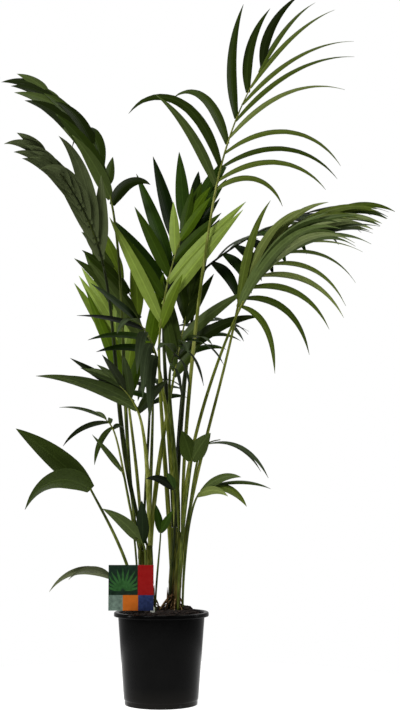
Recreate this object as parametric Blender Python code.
"""Potted kentia palm: young palms that grow as two clumps in one round nursery pot.

Metres, Z up. The pot stands on Z = 0 with its axis on the Z axis, and the crown's broad
side faces -Y. Every frond is worked out by one rule from its neck, its tip and its two
rows of leaflets, so the whole crown follows from the sizes named below.
"""
import math
import random
from dataclasses import dataclass

import bmesh
import bpy
import numpy as np
from mathutils.bvhtree import BVHTree

# The 21 cm nursery pot is the driving size, and the palm stands about eight pots tall.
POT_RIM_RADIUS = 0.105
POT_HEIGHT = 0.200
POT_BASE_RADIUS = 0.0803
POT_TOP_RADIUS = 0.0958
POT_WALL = 0.0018
RIM_DEPTH = 0.009
STEP_HEIGHT = 0.012
DRAINS = 4
DRAIN_WIDTH = 0.008
DRAIN_HEIGHT = 0.005
DRAIN_BEARING = 33

SOIL_EDGE = 0.186
SOIL_TOP = 0.204
MOUND_RADIUS = 0.068

LABEL_SIZE = 0.098
LABEL_THICKNESS = 0.0012
LABEL_LEFT = -0.1135
LABEL_DEPTH = -0.062
LABEL_FOOT = 0.2075
STAKE_WIDTH = 0.010
STAKE_LENGTH = 0.060

GAP = 0.0003
UP = np.array((0.0, 0.0, 1.0))

# A stem is the shaft of leaf sheaths that a young palm's stalks rise from.
STEM_FOOT_RADIUS = 0.0090
STEM_TOP_RADIUS = 0.0080
SEAT_RING = 0.0048
# A stalk's radius from foot to neck, and how far its frond's stoutness tells there: a grown
# stalk sheathes younger ones in its lower half.
STALK_RADII = (0.0031, 0.0035, 0.0041, 0.0040, 0.0036, 0.0032, 0.0028)
SWELL = (0.0, 1.0, 1.0, 0.8, 0.4, 0.2, 0.0)
RIB_TIP_RADIUS = 0.0011
FIRST_LEAFLET = 0.05
BEND_AT_ROOT = 0.7
LEAF_THICKNESS = 0.0022
BLADE_RINGS = {30: (0.03, 0.32, 0.74), 70: (0.03, 0.28, 0.60, 0.87), 360: (0.03, 0.24, 0.50, 0.76, 0.92)}

# Each stem by the centres of its foot on the soil and of its top.
STEMS = {
    "left_back": ((-0.041, 0.011), (-0.046, 0.011, 0.335)),
    "left_front": ((-0.024, -0.009), (-0.027, -0.009, 0.345)),
    "right_back": ((0.021, 0.011), (0.029, 0.012, 0.385)),
    "right_front": ((0.033, -0.010), (0.042, -0.010, 0.375)),
}


@dataclass
class Rank:
    """One row of leaflets: its values run from neck to tip, or one value serves for all."""
    spread: object
    reach: object
    droop: object
    roll: float = 0.0
    curl: float = 0.0
    lift: float = 8.0
    count: int = 0
    breadth: float = 1.0


@dataclass
class Frond:
    """A rib from its neck to its tip, with the bearing that its right-hand rank faces."""
    name: str
    stem: str
    seat: float
    neck: tuple
    tip: tuple
    face: float
    pairs: int
    width: float
    right: Rank
    left: Rank
    tone: str = "deep"
    sway: float = 0.45
    crowd: float = 1.0
    stout: float = 1.4
    splay: float = 0.0


FRONDS = [
    Frond("tall", "right_front", 45, (0.118, 0.005, 1.137), (0.235, 0.10, 1.480), 0, 9, 0.024,
          Rank((34, 41, 41, 33, 15, 20, 12, 5, -4),
               (0.20, 0.285, 0.322, 0.325, 0.32, 0.385, 0.365, 0.375, 0.27),
               (140, 98, 95, 122, 62, 61, 49, 34, 46), roll=-25, breadth=0.75),
          Rank((30, 27, 33, 30, 28, 26), (0.205, 0.365, 0.225, 0.325, 0.27, 0.26),
               (20, 170, 240, 0, 0, 0), roll=5, curl=46, count=6),
          sway=0.35, crowd=1.3, stout=1.15),
    Frond("right_upper", "right_back", 0, (0.103, 0.10, 0.994), (0.373, 0.09, 1.131), -80, 9, 0.032,
          Rank((70, 60, 8), (0.14, 0.13, 0.18), (80, 80, 30), lift=-35),
          Rank((31, 35, 14), (0.18, 0.14, 0.17), (60, 50, 40), lift=12), sway=0.75, stout=1.2),
    Frond("right_lower", "right_front", -45, (0.171, -0.04, 0.865), (0.358, -0.20, 1.015), -10, 8, 0.019,
          Rank((74, 50, 40, 37, 33, 25, 20, 18), (0.183, 0.204, 0.222, 0.218, 0.210, 0.180, 0.125, 0.085),
               (190, 128, 86, 84, 84, 70, 28, 32), roll=20, lift=0),
          Rank((5, 5, 4, 3, 3), (0.35, 0.33, 0.28, 0.22, 0.14), (95, 85, 70, 50, 30)),
          sway=0.35, crowd=1.3, stout=1.0),
    Frond("middle", "right_back", 180, (0.003, 0.05, 0.905), (0.094, 0.16, 1.19), 0, 6, 0.034,
          Rank((24, 20, 14, 7, 5, 4), (0.22, 0.22, 0.22, 0.23, 0.15, 0.12), 10),
          Rank((46, 34, 27, 24, 16, 8), (0.19, 0.245, 0.245, 0.23, 0.12, 0.10), 10)),
    Frond("middle_low", "left_front", 0, (0.024, -0.002, 0.709), (0.080, 0.10, 0.98), 0, 7, 0.030,
          Rank((22, 32, 32, 10, 6, 4, 4), (0.10, 0.23, 0.19, 0.14, 0.13, 0.11, 0.09),
               (20, 58, 20, 10, 10, 10, 10)),
          Rank((20, 18, 6), (0.16, 0.20, 0.14), (20, 20, 20))),
    Frond("left_upper", "left_back", 180, (-0.116, 0.04, 1.110), (-0.293, 0.12, 1.432), 0, 8, 0.036,
          Rank((34, 22, 6, 3, 3, 3), (0.12, 0.065, 0.21, 0.16, 0.155, 0.135, 0.12, 0.105),
               (130, 20, 270, 60, 50, 50, 40, 30)),
          Rank((8, 10, 12, 12, 12, 10), (0.18, 0.195, 0.19, 0.165, 0.14, 0.115), 38),
          sway=0.20, stout=1.1, splay=0.2),
    Frond("left_middle", "left_front", 180, (-0.131, -0.05, 0.967), (-0.252, -0.16, 1.192), 180, 7, 0.036,
          Rank(5, (0.18, 0.165, 0.14, 0.115), (30, 45, 60, 60)),
          Rank((14, 12, 8, 8, 8, 6, 6), (0.14, 0.25, 0.215, 0.17, 0.135, 0.11, 0.09),
               (10, 150, 100, 60, 40)),
          sway=0.2, splay=0.42),
    Frond("left_bright", "left_back", 90, (-0.079, 0.065, 0.663), (-0.126, 0.15, 0.925), 0, 7, 0.027,
          Rank((20, 16, 14, 9, 6, 4, 4), (0.17, 0.21, 0.20, 0.18, 0.15, 0.14, 0.14), 20),
          Rank((10, 13, 17, 20, 18, 12, 6), (0.265, 0.25, 0.22, 0.21, 0.20, 0.18, 0.15), 10),
          tone="fresh", stout=1.0),
    Frond("near", "right_back", 270, (-0.010, -0.07, 0.757), (-0.050, -0.15, 0.83), -20, 4, 0.024,
          Rank((25, 20, 10), (0.20, 0.17, 0.15), (190, 130, 40), lift=50),
          Rank((60, 50, 5), (0.12, 0.15, 0.18), (40, 35, 10))),
    Frond("left_low", "left_front", 270, (-0.048, -0.08, 0.632), (-0.110, -0.12, 0.710), -20, 6, 0.029,
          Rank((55, 34, 30, 24, 14, 8), (0.13, 0.15, 0.13, 0.12, 0.07, 0.06), 25),
          Rank((33, 28, 16, 12, 10, 8), (0.27, 0.175, 0.155, 0.11, 0.08, 0.06), (42, 30, 4, 10, 20, 20))),
    Frond("left_tuft", "left_back", 270, (-0.106, -0.055, 0.600), (-0.125, -0.07, 0.625), -20, 3, 0.018,
          Rank((60, 40, 10), (0.05, 0.05, 0.07), (90, 80, 50)),
          Rank((112, 66, 10), (0.08, 0.13, 0.105), (150, 66, 32)), stout=0.7, splay=0.5),
    Frond("left_spray", "soil", (-0.051, -0.008), (-0.087, -0.04, 0.508), (-0.105, -0.05, 0.530), -20,
          1, 0.020,
          Rank(-8, 0.11, 10), Rank(80, 0.06, 120), stout=0.6),
    Frond("left_pair", "soil", (-0.055, -0.030), (-0.152, -0.08, 0.468), (-0.165, -0.085, 0.487), 0, 1,
          0.052,
          Rank(-16, 0.21, 14), Rank(18, 0.20, 122, lift=20), stout=0.9),
    Frond("foot_pair", "soil", (-0.062, 0.004), (-0.110, -0.03, 0.275), (-0.125, -0.035, 0.287), 0, 1,
          0.026,
          Rank(0, 0.11, 80), Rank(9, 0.165, 95), stout=0.6),
    Frond("inner_pair", "soil", (-0.036, -0.034), (-0.040, -0.03, 0.350), (-0.058, -0.045, 0.360), 0, 1,
          0.036,
          Rank(25, 0.11, 20), Rank(3, 0.14, 35), stout=0.8),
    Frond("small_pair", "soil", (-0.012, -0.050), (-0.001, -0.045, 0.374), (-0.001, -0.045, 0.392), 0,
          1, 0.028,
          Rank(22, 0.055, 15), Rank(10, 0.065, 20), stout=0.6),
    Frond("dark_blade", "soil", (0.0185, -0.008), (0.028, -0.05, 0.468), (0.012, -0.06, 0.490), 0, 1,
          0.030,
          Rank(5, 0.045, 50), Rank(22, 0.075, 70), stout=0.7),
    Frond("right_pair", "soil", (0.037, -0.027), (0.067, -0.085, 0.530), (0.071, -0.082, 0.550), 0, 1,
          0.056,
          Rank(20, 0.072, 30, lift=0), Rank(22, 0.072, 30, lift=0), stout=0.9),
    Frond("right_arch", "soil", (0.047, 0.000), (0.092, -0.035, 0.566), (0.130, -0.060, 0.578), 0, 1,
          0.020,
          Rank(8, 0.16, 85, roll=45), Rank(-2, 0.20, 90, roll=-45), sway=0.8, stout=0.8),
    Frond("right_low", "soil", (0.047, -0.015), (0.079, -0.06, 0.453), (0.120, -0.08, 0.480), -40, 2,
          0.026,
          Rank((30, 15), (0.10, 0.12), (60, 70)),
          Rank((-14, 6), (0.125, 0.120), (52, 35)), stout=0.8),
    Frond("back_left", "left_back", 0, (-0.033, 0.062, 0.770), (-0.112, 0.068, 0.985), 0, 4, 0.034,
          Rank((20, 15, 9), (0.20, 0.17, 0.12), 20, count=3),
          Rank((14, 20, 18, 8), (0.26, 0.21, 0.16, 0.12), 20), tone="fresh", stout=0.8),
    Frond("back_right", "right_back", 90, (0.055, 0.12, 0.780), (0.110, 0.29, 0.90), -20, 5, 0.027,
          Rank((55, 45, 12), (0.10, 0.15, 0.16), (60, 60, 60)),
          Rank((55, 45, 12), (0.10, 0.15, 0.16), (60, 60, 60)), stout=1.0),
    Frond("back_middle", "left_front", 90, (-0.025, 0.11, 0.665), (-0.035, 0.26, 0.745), 0, 4, 0.027,
          Rank((55, 45, 12), (0.09, 0.12, 0.13), (60, 60, 60)),
          Rank((55, 45, 12), (0.10, 0.13, 0.14), (60, 60, 60)), stout=1.0),
    Frond("right_plume", "soil", (0.039, 0.009), (0.168, 0.01, 0.868), (0.390, -0.02, 1.098), -20, 9,
          0.022,
          Rank((10, 8, 6, 5), (0.29, 0.26, 0.22, 0.125), (75, 65, 55, 50)),
          Rank((6, 5, 4, 3), (0.24, 0.24, 0.22, 0.14), (95, 85, 65, 55)), sway=0.0, stout=1.0),
    Frond("middle_bright", "soil", (0.023, 0.028), (-0.006, 0.00, 0.819), (0.064, 0.06, 1.11), 0, 6,
          0.030,
          Rank((16, 31, 26, 22, 10, 6), (0.13, 0.30, 0.25, 0.14, 0.12, 0.10), 12),
          Rank((29, 41, 42, 20, 10, 6), (0.285, 0.20, 0.205, 0.14, 0.12, 0.10), 10), tone="fresh"),
    Frond("near_right", "right_front", 225, (0.020, -0.07, 0.735), (0.060, -0.15, 0.79), -20, 4, 0.026,
          Rank((35, 25, 10), (0.13, 0.14, 0.15), (90, 90, 60), lift=45),
          Rank((40, 25, 8), (0.14, 0.15, 0.14), (60, 60, 40), lift=25)),
]


def between(values, share):
    """The value at a share of the way through evenly spaced values, or the one value."""
    if not isinstance(values, tuple):
        return values
    return float(np.interp(share, np.linspace(0, 1, len(values)), values))


def unit(vector):
    return vector / np.linalg.norm(vector)


def bearing(degrees):
    """The level direction at a bearing counted from +X towards +Y."""
    turn = math.radians(degrees)
    return np.array((math.cos(turn), math.sin(turn), 0.0))


def swung(vector, axis, degrees):
    """The vector turned about an axis."""
    turn = math.radians(degrees)
    along = axis * np.dot(axis, vector)
    return along + (vector - along) * math.cos(turn) + np.cross(axis, vector) * math.sin(turn)


def bezier(points, shares):
    """Places along a Bezier curve of any order."""
    order = len(points) - 1
    weights = [[math.comb(order, k) * t ** k * (1 - t) ** (order - k) for k in range(order + 1)]
               for t in shares]
    return np.array(weights) @ np.array(points)


def seat_of(frond):
    """The place where the frond's stalk stands on its stem, or on the soil."""
    if frond.stem in STEMS:
        return np.array(STEMS[frond.stem][1]) + GAP * UP + SEAT_RING * bearing(frond.seat)
    return np.array((*frond.seat, SOIL_TOP + GAP))


def neck_heading(frond):
    """The direction in which the stalk runs on into the rib."""
    neck, tip = np.array(frond.neck), np.array(frond.tip)
    return unit((1 - frond.sway) * unit(neck - seat_of(frond)) + frond.sway * unit(tip - neck))


def stalk_line(frond, steps):
    foot, neck = seat_of(frond), np.array(frond.neck)
    third = np.linalg.norm(neck - foot) / 3
    outward = unit((neck - foot) * (1, 1, 0))
    rise = unit(UP + outward * frond.splay) * third
    course = [foot, foot + rise, neck - neck_heading(frond) * third * (1 - frond.sway), neck]
    return bezier(course, np.linspace(0, 1, steps + 1))


def stalk_radii(frond):
    """A stout stalk is swollen in its lower half, and a seedling leaf's is thin throughout."""
    swell = SWELL if frond.stout > 1 else [1.0] * len(SWELL)
    return [radius * (1 + (frond.stout - 1) * share) for radius, share in zip(STALK_RADII, swell)]


def rib_line(frond, shares):
    neck, tip = np.array(frond.neck), np.array(frond.tip)
    half = np.linalg.norm(tip - neck) / 2
    return bezier([neck, neck + neck_heading(frond) * half, tip], shares)


def leaflet_line(root, heading, face, hinge, length, droop, curl, steps=14):
    """A leaflet's midrib and sideways directions, curling along the rib and sagging."""
    points, sides = [root], []
    ahead = heading
    side = unit(np.cross(heading, face))
    for step in range(steps):
        sides.append(side)
        weight = (BEND_AT_ROOT + 2 * (1 - BEND_AT_ROOT) * (step + 0.5) / steps) / steps
        ahead = swung(ahead, hinge, curl * weight)
        level = math.hypot(ahead[0], ahead[1])
        if level > 1e-6:
            ahead = swung(ahead, unit(np.cross(ahead, UP)), -droop * level * weight)
        side = unit(side - ahead * np.dot(side, ahead))
        points.append(points[-1] + ahead * length / steps)
    sides.append(side)
    return np.array(points), np.array(sides)


def blade_share(t):
    """The blade's width at a share of its length: narrow root, full third, long point."""
    if t < 0.32:
        return 0.42 + 0.58 * math.sin(math.pi / 2 * t / 0.32)
    return max(0.0, math.cos(math.pi / 2 * (t - 0.32) / 0.68)) ** 0.85


def leaflets(frond):
    """Every leaflet of a frond as (midrib points, sideways directions, full width)."""
    chance = random.Random(frond.name)
    made = []
    for hand, rank in ((1, frond.right), (-1, frond.left)):
        count = rank.count or frond.pairs
        for index in range(count):
            share = (index + (0.0 if hand > 0 else 0.3)) / (count - 0.7) if count > 1 else 0.0
            place = FIRST_LEAFLET + (1 - FIRST_LEAFLET) * share ** frond.crowd
            at, on = rib_line(frond, [place, place + 0.02])
            along = unit(on - at)
            across = bearing(frond.face)
            across = unit(across - along * np.dot(across, along))
            normal = np.cross(across, along)
            wide = math.radians(between(rank.spread, share) + chance.uniform(-2.5, 2.5))
            heading = along * math.cos(wide) + hand * across * math.sin(wide)
            rise = math.radians(rank.lift * (1 - share ** 2) + chance.uniform(-3, 3))
            heading = unit(heading * math.cos(rise) + normal * math.sin(rise))
            face = unit(normal - heading * np.dot(normal, heading))
            face = swung(face, heading, hand * rank.roll)
            length = between(rank.reach, share) * chance.uniform(0.95, 1.05)
            droop = between(rank.droop, share) * chance.uniform(0.9, 1.1)
            line, sides = leaflet_line(at, heading, face, -hand * normal, length, droop, -rank.curl * share)
            made.append((line, sides, frond.width * rank.breadth * min(1.0, 0.5 + length / 0.4)))
    return made


# Solids are built from here on.

# One colour for each piece, as sRGB hex; the fronds take theirs from their tone.
POT_COLOUR = "26262a"
SOIL_COLOUR = "33241a"
LABEL_COLOUR = "3f7a3c"
STEM_COLOUR = "6d6a35"
STALK_COLOUR = "7d8f3e"
TONES = {"deep": "2b4a12", "fresh": "66851c"}
CLEARANCE = 0.0004


def linear(code):
    """The linear colour of an sRGB hex code."""
    parts = [int(code[i:i + 2], 16) / 255 for i in (0, 2, 4)]
    return [c / 12.92 if c <= 0.04045 else ((c + 0.055) / 1.055) ** 2.4 for c in parts]


def finish(name, code, roughness):
    paint = bpy.data.materials.new(name)
    paint.use_nodes = True
    shader = paint.node_tree.nodes["Principled BSDF"]
    shader.inputs["Base Color"].default_value = (*linear(code), 1.0)
    shader.inputs["Roughness"].default_value = roughness
    return paint


def solid(name, shape, code, roughness=0.6):
    """A named object from (points, faces), with its faces turned outwards."""
    mesh = bpy.data.meshes.new(name)
    mesh.from_pydata([tuple(p) for p in shape[0]], [], shape[1])
    work = bmesh.new()
    work.from_mesh(mesh)
    bmesh.ops.recalc_face_normals(work, faces=work.faces)
    work.to_mesh(mesh)
    work.free()
    piece = bpy.data.objects.new(name, mesh)
    piece.data.materials.append(finish(name + "_finish", code, roughness))
    bpy.context.scene.collection.objects.link(piece)
    return piece


def loft(rings, first_point=None, last_point=None):
    """Rings of equal size joined by quads, closed by a face or by an end point."""
    size = len(rings[0])
    points = [p for ring in rings for p in ring]
    faces = []
    for level in range(len(rings) - 1):
        for k in range(size):
            low, next_low = level * size + k, level * size + (k + 1) % size
            faces.append((low, next_low, next_low + size, low + size))
    for end, tip in ((0, first_point), (len(rings) - 1, last_point)):
        ring = [end * size + k for k in range(size)]
        if tip is None:
            faces.append(tuple(ring))
        else:
            points.append(tip)
            hub = len(points) - 1
            faces.extend((ring[k], ring[(k + 1) % size], hub) for k in range(size))
    return points, faces


def lathe(profile, segments):
    """A closed body turned about Z from its outline, which starts and ends on the axis."""
    rings = [[(r * math.cos(2 * math.pi * k / segments), r * math.sin(2 * math.pi * k / segments), z)
              for k in range(segments)] for r, z in profile[1:-1]]
    return loft(rings, (0, 0, profile[0][1]), (0, 0, profile[-1][1]))


def limb(line, radii, first, last, sides=5):
    """A tapering limb along a line, whose flat ends face along the two given headings."""
    heads = [first] + [unit(line[i + 1] - line[i - 1]) for i in range(1, len(line) - 1)] + [last]
    across = unit(np.cross(heads[0], (0.31, 0.95, 0.05)))
    rings = []
    for point, head, radius in zip(line, heads, radii):
        across = unit(across - head * np.dot(across, head))
        over = np.cross(head, across)
        turns = [2 * math.pi * k / sides for k in range(sides)]
        rings.append([point + radius * (across * math.cos(t) + over * math.sin(t)) for t in turns])
    return loft(rings)


def blade(line, sides, width, grow=0.0):
    """A leaflet with a flat underside and a ridge above, pointed at both ends."""
    last = len(line) - 1
    length = np.linalg.norm(np.diff(line, axis=0), axis=1).sum()
    thick = max(LEAF_THICKNESS, 0.0115 * length)
    ends = unit(line[1] - line[0]), unit(line[-1] - line[-2])
    bend = math.degrees(math.acos(max(-1.0, min(1.0, float(np.dot(*ends))))))
    rings = []
    for t in next(shares for most, shares in BLADE_RINGS.items() if bend <= most):
        step = min(int(t * last), last - 1)
        part = t * last - step
        point = line[step] * (1 - part) + line[step + 1] * part
        side = sides[step]
        ridge = np.cross(side, unit(line[step + 1] - line[step]))
        half = width * blade_share(t) / 2 + grow
        high = thick * (0.55 + 0.45 * blade_share(t)) + 2 * grow
        low = point - ridge * (thick / 3 + grow)
        rings.append([low - side * half, low + side * half, low + ridge * high])
    return loft(rings, line[0], line[-1])


def tree_of(shape):
    faces = [tuple(f) for f in shape[1]]
    return BVHTree.FromPolygons([tuple(map(float, p)) for p in shape[0]], faces)


class Room:
    """The pieces that are in place, to find where a new one would touch them."""

    def __init__(self):
        self.taken = []

    def add(self, owner, shape):
        points = np.array(shape[0], float)
        self.taken.append((owner, points.min(0), points.max(0), tree_of(shape)))

    def touched(self, shape, own=""):
        points = np.array(shape[0], float)
        low, high = points.min(0) - CLEARANCE, points.max(0) + CLEARANCE
        tree = None
        for owner, its_low, its_high, its_tree in self.taken:
            if owner == own or (its_low > high).any() or (its_high < low).any():
                continue
            tree = tree or tree_of(shape)
            if tree.overlap(its_tree):
                return owner
        return None


def nudged(shapes, number):
    """The same shapes, each shifted by a few hundredths of a millimetre."""
    chance = random.Random(number)
    moves = [np.array([chance.uniform(-1, 1) * number * 0.00002 for _ in range(3)]) for _ in shapes]
    return [([np.array(p) + move for p in points], faces) for move, (points, faces) in zip(moves, shapes)]


def fused(name, shapes, code):
    """One body from a core and the leaflets sunk in it, less one that spoils the union."""
    trials = [(solver, nudged(shapes[1:], number)) for number in range(6) for solver in ("EXACT", "MANIFOLD")]
    trials += [("EXACT", shapes[1:k] + shapes[k + 1:]) for k in range(1, len(shapes))]
    for solver, leaves in trials:
        core = solid(name, shapes[0], code, 0.5)
        boolean(core, leaves, "UNION", solver)
        if one_closed_body(core):
            print(name, "leaflets", len(leaves), "of", len(shapes) - 1, solver)
            return
        bpy.data.objects.remove(core)
    print(name, "has no sound union")


def boolean(piece, shapes, operation, solver="EXACT"):
    """Join the shapes to a piece, or take them out of it, and clear what comes loose."""
    others = bpy.data.collections.new(piece.name + "_tools")
    for number, shape in enumerate(shapes):
        tool = solid(f"{piece.name}_tool_{number}", shape, "808080")
        bpy.context.scene.collection.objects.unlink(tool)
        others.objects.link(tool)
    change = piece.modifiers.new("change", "BOOLEAN")
    change.operation = operation
    change.operand_type = "COLLECTION"
    change.collection = others
    change.solver = solver
    baked = bpy.data.meshes.new_from_object(piece.evaluated_get(bpy.context.evaluated_depsgraph_get()))
    piece.modifiers.clear()
    piece.data = baked
    for tool in list(others.objects):
        bpy.data.objects.remove(tool)
    bpy.data.collections.remove(others)
    while len(baked.materials) > 1:
        baked.materials.pop()
    work = bmesh.new()
    work.from_mesh(baked)
    for merge in (0.0, 0.00002):
        if merge:
            bmesh.ops.remove_doubles(work, verts=work.verts, dist=merge)
            bmesh.ops.dissolve_degenerate(work, edges=work.edges, dist=0.00001)
        shells = sorted(shells_of(work), key=len)
        scraps = [face for shell in shells[:-1] for face in shell]
        bmesh.ops.delete(work, geom=scraps, context="FACES")
    work.to_mesh(baked)
    work.free()


def shells_of(work):
    """The faces of a mesh in groups that hang together by their edges."""
    seen, shells = set(), []
    for start in work.faces:
        if start in seen:
            continue
        shell, queue = [], [start]
        seen.add(start)
        while queue:
            face = queue.pop()
            shell.append(face)
            for edge in face.edges:
                for other in edge.link_faces:
                    if other not in seen:
                        seen.add(other)
                        queue.append(other)
        shells.append(shell)
    return shells


def one_closed_body(piece):
    work = bmesh.new()
    work.from_mesh(piece.data)
    closed = all(edge.is_manifold for edge in work.edges) and all(v.is_manifold for v in work.verts)
    single = len(shells_of(work)) == 1
    work.free()
    return closed and single


def box(low, high):
    corners = [(x, y, z) for x in (low[0], high[0]) for y in (low[1], high[1]) for z in (low[2], high[2])]
    faces = [(0, 1, 3, 2), (4, 6, 7, 5), (0, 4, 5, 1), (2, 3, 7, 6), (0, 2, 6, 4), (1, 5, 7, 3)]
    return corners, faces


def inner_radius(z):
    """The pot's inside radius at a height above its step."""
    share = (z - STEP_HEIGHT) / (POT_HEIGHT - RIM_DEPTH - STEP_HEIGHT)
    return POT_BASE_RADIUS + 0.0018 + (POT_TOP_RADIUS - POT_BASE_RADIUS - 0.0018) * share - POT_WALL


def pot():
    """A tapering wall on a stepped foot, under a rolled rim that is hollow below."""
    lip = POT_HEIGHT - RIM_DEPTH
    rim, top = POT_RIM_RADIUS, POT_TOP_RADIUS
    outline = [
        (0, 0), (POT_BASE_RADIUS - 0.001, 0), (POT_BASE_RADIUS, 0.001),
        (POT_BASE_RADIUS, STEP_HEIGHT - 0.0015), (POT_BASE_RADIUS + 0.0018, STEP_HEIGHT),
        (top, lip), (top + 0.0002, POT_HEIGHT - 0.002),
        (rim - 0.0018, POT_HEIGHT - 0.002), (rim - 0.0018, lip), (rim - 0.0004, lip - 0.0002),
        (rim, lip + 0.002), (rim, POT_HEIGHT - 0.003), (rim - 0.001, POT_HEIGHT - 0.0008),
        (rim - 0.003, POT_HEIGHT), (top + 0.002, POT_HEIGHT), (top - 0.0005, POT_HEIGHT - 0.0012),
        (inner_radius(lip), lip - 0.002), (inner_radius(STEP_HEIGHT), STEP_HEIGHT),
        (POT_BASE_RADIUS - POT_WALL, 0.003), (0, 0.003),
    ]
    body = solid("pot", lathe(outline, 40), POT_COLOUR, 0.4)
    cuts = []
    for k in range(DRAINS):
        out = bearing(DRAIN_BEARING - 90 + k * 360 / DRAINS)
        side = np.cross(UP, out)
        corners, faces = box((-0.006, -DRAIN_WIDTH / 2, -0.001), (0.006, DRAIN_WIDTH / 2, DRAIN_HEIGHT))
        placed = [out * (POT_BASE_RADIUS + x) + side * y + UP * z for x, y, z in corners]
        cuts.append((placed, faces))
    boolean(body, cuts, "DIFFERENCE")
    return body


def soil():
    """Potting soil up to a low mound, with a slot for the label's stake."""
    low = STEP_HEIGHT + 0.002
    outline = [
        (0, 0.003 + GAP), (POT_BASE_RADIUS - POT_WALL - 0.001, 0.003 + GAP),
        (inner_radius(low) - 0.002, low), (inner_radius(low + 0.01) - GAP, low + 0.01),
        (inner_radius(SOIL_EDGE) - GAP, SOIL_EDGE), (MOUND_RADIUS, SOIL_TOP), (0, SOIL_TOP),
    ]
    body = solid("soil", lathe(outline, 40), SOIL_COLOUR, 0.95)
    x, half = stake_middle(), STAKE_WIDTH / 2 + GAP
    back = LABEL_DEPTH + LABEL_THICKNESS + GAP
    slot = box((x - half, LABEL_DEPTH - GAP, LABEL_FOOT - STAKE_LENGTH - GAP), (x + half, back, 0.25))
    boolean(body, [slot], "DIFFERENCE")
    return body


def stake_middle():
    return LABEL_LEFT + LABEL_SIZE - STAKE_WIDTH / 2 + 0.003


def label():
    """A square card with a pointed stake under its right-hand end."""
    right, x, half = LABEL_LEFT + LABEL_SIZE, stake_middle(), STAKE_WIDTH / 2
    top, foot = LABEL_FOOT + LABEL_SIZE, LABEL_FOOT
    outline = [
        (LABEL_LEFT, foot), (x - half, foot), (x - half, foot - STAKE_LENGTH + 0.012),
        (x, foot - STAKE_LENGTH), (x + half, foot - STAKE_LENGTH + 0.012), (x + half, foot + 0.006),
        (right, foot + 0.010), (right, top), (LABEL_LEFT, top),
    ]
    rings = [[(px, LABEL_DEPTH + y, pz) for px, pz in outline] for y in (0, LABEL_THICKNESS)]
    return solid("label", loft(rings), LABEL_COLOUR, 0.35)


def stem(name, foot, top):
    """A shaft of leaf sheaths, slightly thicker at its foot, with a flat top."""
    rings = []
    for share in (0.0, 0.25, 0.6, 1.0):
        x, y = (foot[i] + (top[i] - foot[i]) * share for i in (0, 1))
        z = SOIL_TOP + GAP + (top[2] - SOIL_TOP - GAP) * share
        radius = STEM_FOOT_RADIUS + (STEM_TOP_RADIUS - STEM_FOOT_RADIUS) * share
        rings.append([np.array((x, y, z)) + radius * bearing(360 * k / 10) for k in range(10)])
    return loft(rings)


def stalk(frond):
    line = stalk_line(frond, len(STALK_RADII) - 1)
    return limb(line, stalk_radii(frond), UP, neck_heading(frond))


def rib(frond):
    line = rib_line(frond, np.linspace(0, 1, 4 + frond.pairs // 2))
    line[0] = line[0] + neck_heading(frond) * GAP
    radii = np.linspace(stalk_radii(frond)[-1], RIB_TIP_RADIUS, len(line))
    return limb(line, radii, neck_heading(frond), unit(line[-1] - line[-2]))


def build():
    for thing in list(bpy.data.objects):
        bpy.data.objects.remove(thing)
    pot()
    soil()
    label()
    room = Room()
    for name, (foot, top) in STEMS.items():
        shape = stem(name, foot, top)
        room.add("stem_" + name, shape)
        solid("stem_" + name, shape, STEM_COLOUR, 0.7)
    for frond in FRONDS:
        shape = stalk(frond)
        meets = room.touched(shape)
        if meets:
            print("stalk", frond.name, "meets", meets)
        room.add("stalk_" + frond.name, shape)
        solid("stalk_" + frond.name, shape, STALK_COLOUR, 0.5)
    ribs = {frond.name: rib(frond) for frond in FRONDS}
    for name, shape in ribs.items():
        meets = room.touched(shape, "stalk_" + name)
        if meets:
            print("rib", name, "meets", meets)
        room.add("frond_" + name, shape)
    left_out = 0
    for frond in FRONDS:
        shapes = [ribs[frond.name]]
        for line, sides, width in leaflets(frond):
            meets = room.touched(blade(line, sides, width, CLEARANCE), "frond_" + frond.name)
            if meets:
                print("leaflet of", frond.name, "would touch", meets)
                left_out += 1
                continue
            shape = blade(line, sides, width)
            room.add("frond_" + frond.name, shape)
            shapes.append(shape)
        fused("frond_" + frond.name, shapes, TONES[frond.tone])
    print("leaflets left out:", left_out)


build()
